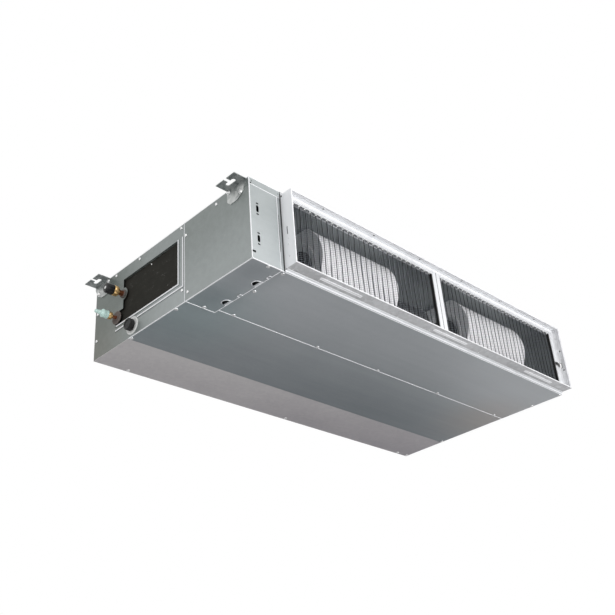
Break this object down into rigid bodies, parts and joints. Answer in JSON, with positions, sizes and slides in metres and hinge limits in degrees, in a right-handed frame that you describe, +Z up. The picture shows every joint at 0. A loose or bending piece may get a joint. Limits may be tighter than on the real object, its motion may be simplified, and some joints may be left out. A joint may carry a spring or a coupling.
{
  "type": "ducted air conditioner indoor unit",
  "caption": "Ceiling concealed ducted fan coil unit in a flat galvanised casing, with a filtered return collar, centrifugal fans, a slanted coil and hanging brackets.",
  "frame": {"origin": "centre of the four hanger slots in plan, level with the top of the casing", "axes": "+X along the casing from the pipe end to the plain end, +Y with the airflow from the return side to the discharge side, +Z up, out of the top of the casing"},
  "size_m": [1.5143, 0.771, 0.2524],
  "materials": {
    "casing_steel": "galvanised sheet, pale green-grey",
    "underside_steel": "galvanised sheet, blue-grey",
    "discharge_steel": "galvanised sheet, warm grey",
    "bright_steel": "bright galvanised sheet",
    "hanger_steel": "zinc plated plate",
    "screw_steel": "zinc plated",
    "filter_aluminium": "satin extrusion",
    "filter_net": "dark woven net",
    "strap_webbing": "black webbing",
    "scroll_steel": "bright galvanised sheet",
    "wheel_plastic": "black moulded plastic",
    "shaft_steel": "ground steel",
    "motor_paint": "black paint",
    "black_rubber": "black rubber",
    "fin_aluminium": "thin aluminium fins",
    "copper_tube": "copper tube",
    "brass_fitting": "turned brass",
    "black_cap": "black moulded plastic",
    "mint_cap": "pale green moulded plastic",
    "white_plastic": "white moulded plastic",
    "pan_foam": "white moulded foam with a skin",
    "dark_foam": "dark olive closed-cell foam",
    "black_foam": "black closed-cell foam",
    "board_green": "circuit board"
  },
  "bodies": {
    "casing": {"top_panel": "casing_steel", "pipe_end_panel": "casing_steel", "right_end_panel": "casing_steel", "control_box_shell": "casing_steel", "control_box_front_cover": "casing_steel", "control_box_bottom_cover": "underside_steel", "fan_section_bottom_panel": "underside_steel", "drain_pan_cover": "underside_steel", "discharge_bottom_panel": "discharge_steel", "return_frame": "bright_steel", "return_collar": "bright_steel", "filter_rail_bottom": "bright_steel", "filter_rail_top": "bright_steel", "fan_deck": "casing_steel", "discharge_frame": "discharge_steel", "discharge_flange": "bright_steel", "left_scroll_upper": "scroll_steel", "left_scroll_lower": "scroll_steel", "left_fan_inlet_rings": "scroll_steel", "right_scroll_upper": "scroll_steel", "right_scroll_lower": "scroll_steel", "right_fan_inlet_rings": "scroll_steel", "motor_housing": "motor_paint", "motor_cushions": "black_rubber", "motor_bracket": "casing_steel", "motor_straps": "casing_steel", "coil_fin_pack": "fin_aluminium", "coil_end_plates": "casing_steel", "coil_return_bends": "copper_tube", "gas_header": "copper_tube", "liquid_header": "copper_tube", "gas_fitting": "brass_fitting", "gas_grommet": "black_foam", "liquid_fitting": "brass_fitting", "liquid_grommet": "black_foam", "drain_pan": "pan_foam", "drain_spigot": "white_plastic", "window_foam_panel": "dark_foam", "ceiling_insulation": "black_foam", "discharge_insulation": "black_foam", "hanger_bracket_return_left": "hanger_steel", "hanger_bracket_discharge_left": "hanger_steel", "hanger_bracket_return_right": "hanger_steel", "hanger_bracket_discharge_right": "hanger_steel", "control_board": "board_green", "terminal_block": "white_plastic", "bottom_screws": "screw_steel", "end_screws": "screw_steel", "bracket_bolts": "screw_steel"},
    "fan_rotor": {"left_fan_wheel": "wheel_plastic", "right_fan_wheel": "wheel_plastic", "fan_shaft": "shaft_steel"},
    "right_filter": {"right_filter_frame": "filter_aluminium", "right_filter_mesh": "filter_net", "filter_pull_strap": "strap_webbing"},
    "left_filter": {"left_filter_frame": "filter_aluminium", "left_filter_mesh": "filter_net"},
    "gas_cap_body": {"gas_cap": "black_cap"},
    "liquid_cap_body": {"liquid_cap": "mint_cap"},
    "drain_cap_body": {"drain_cap": "black_cap"}
  },
  "joints": [
    {"name": "fan_spin", "type": "hinge", "parent": "casing", "child": "fan_rotor", "pos_m": [0.047, -0.2295, -0.129], "axis": [1, 0, 0], "continuous": true},
    {"name": "filter_right_slide", "type": "slide", "parent": "casing", "child": "right_filter", "axis": [1, 0, 0], "range_m": [0, 0.66]},
    {"name": "filter_left_slide", "type": "slide", "parent": "casing", "child": "left_filter", "axis": [1, 0, 0], "range_m": [0, 0.66]},
    {"name": "gas_cap_slide", "type": "slide", "parent": "casing", "child": "gas_cap_body", "axis": [-1, 0, 0], "range_m": [0, 0.05]},
    {"name": "liquid_cap_slide", "type": "slide", "parent": "casing", "child": "liquid_cap_body", "axis": [-1, 0, 0], "range_m": [0, 0.05]},
    {"name": "drain_cap_slide", "type": "slide", "parent": "casing", "child": "drain_cap_body", "axis": [-1, 0, 0], "range_m": [0, 0.05]}
  ],
  "couplings": [
    {"joint": "filter_left_slide", "follows": "filter_right_slide", "ratio": 1}
  ]
}
